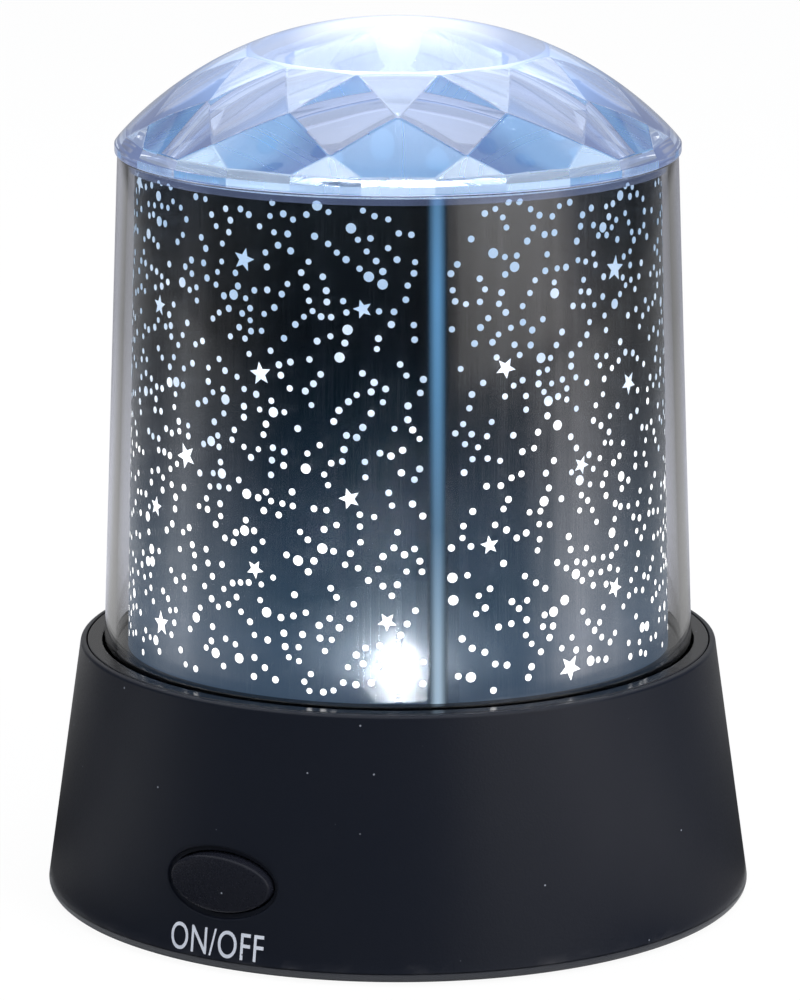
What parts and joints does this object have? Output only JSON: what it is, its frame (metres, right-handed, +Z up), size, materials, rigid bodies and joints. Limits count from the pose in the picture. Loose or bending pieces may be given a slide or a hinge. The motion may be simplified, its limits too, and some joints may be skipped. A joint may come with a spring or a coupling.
{
  "type": "star night light projector",
  "caption": "Battery star projector night light: black conical base with push button, clear drum round a mirror film of star windows, faceted clear dome on top.",
  "frame": {"origin": "centre of the surface that the feet stand on, under the lamp's axis", "axes": "+Z up along the lamp's axis, -Y towards the push button, +X to the right of a person who faces the button"},
  "size_m": [0.105, 0.105, 0.1299],
  "materials": {
    "black_abs": "satin black, fine grain",
    "deck_black": "glossy black",
    "button_black": "glossy black",
    "screw_steel": "zinc plated",
    "foot_rubber": "matt",
    "cell_can": null,
    "contact_nickel": "nickel plated",
    "white_plastic": "satin",
    "switch_black": "satin",
    "board_green": "solder mask",
    "lens_clear": "clear, lit white",
    "resistor_tan": "enamelled",
    "wire_red": "satin",
    "wire_white": "satin",
    "wire_black": "satin",
    "drum_clear": "clear, polished",
    "film_mirror": "dark metallised, fine upright grain",
    "tape_clear": "clear",
    "dome_clear": "clear, polished, faint blue"
  },
  "bodies": {
    "housing": {"base_shell": "black_abs", "top_deck": "deck_black", "base_plate": "black_abs", "case_screws": "screw_steel", "rubber_feet": "foot_rubber", "battery_cell_left": "cell_can", "battery_cell_middle": "cell_can", "battery_cell_right": "cell_can", "contact_springs": "contact_nickel", "contact_plates": "contact_nickel", "switch_body": "switch_black", "switch_board": "board_green", "switch_board_screws": "screw_steel", "lamp_board": "board_green", "lamp_board_screws": "screw_steel", "lamp_collar": "switch_black", "led_lamp": "lens_clear", "series_resistor": "resistor_tan", "wire_positive": "wire_red", "wire_switched": "wire_white", "wire_negative": "wire_black", "clear_drum": "drum_clear", "star_film": "film_mirror", "film_tape": "tape_clear", "crystal_dome": "dome_clear"},
    "button": {"button_cap": "button_black", "switch_plunger": "white_plastic"},
    "door": {"battery_door": "black_abs", "door_screw": "screw_steel"}
  },
  "joints": [
    {"name": "button_press", "type": "slide", "parent": "housing", "child": "button", "axis": [0, 1, 0], "range_m": [0, 0.0015], "stiffness_N_per_m": 800, "springref_m": -0.0005},
    {"name": "door_tilt", "type": "hinge", "parent": "housing", "child": "door", "pos_m": [-0.0298, 0, 0.0014], "axis": [0, 1, 0], "range_deg": [0, 60]}
  ]
}
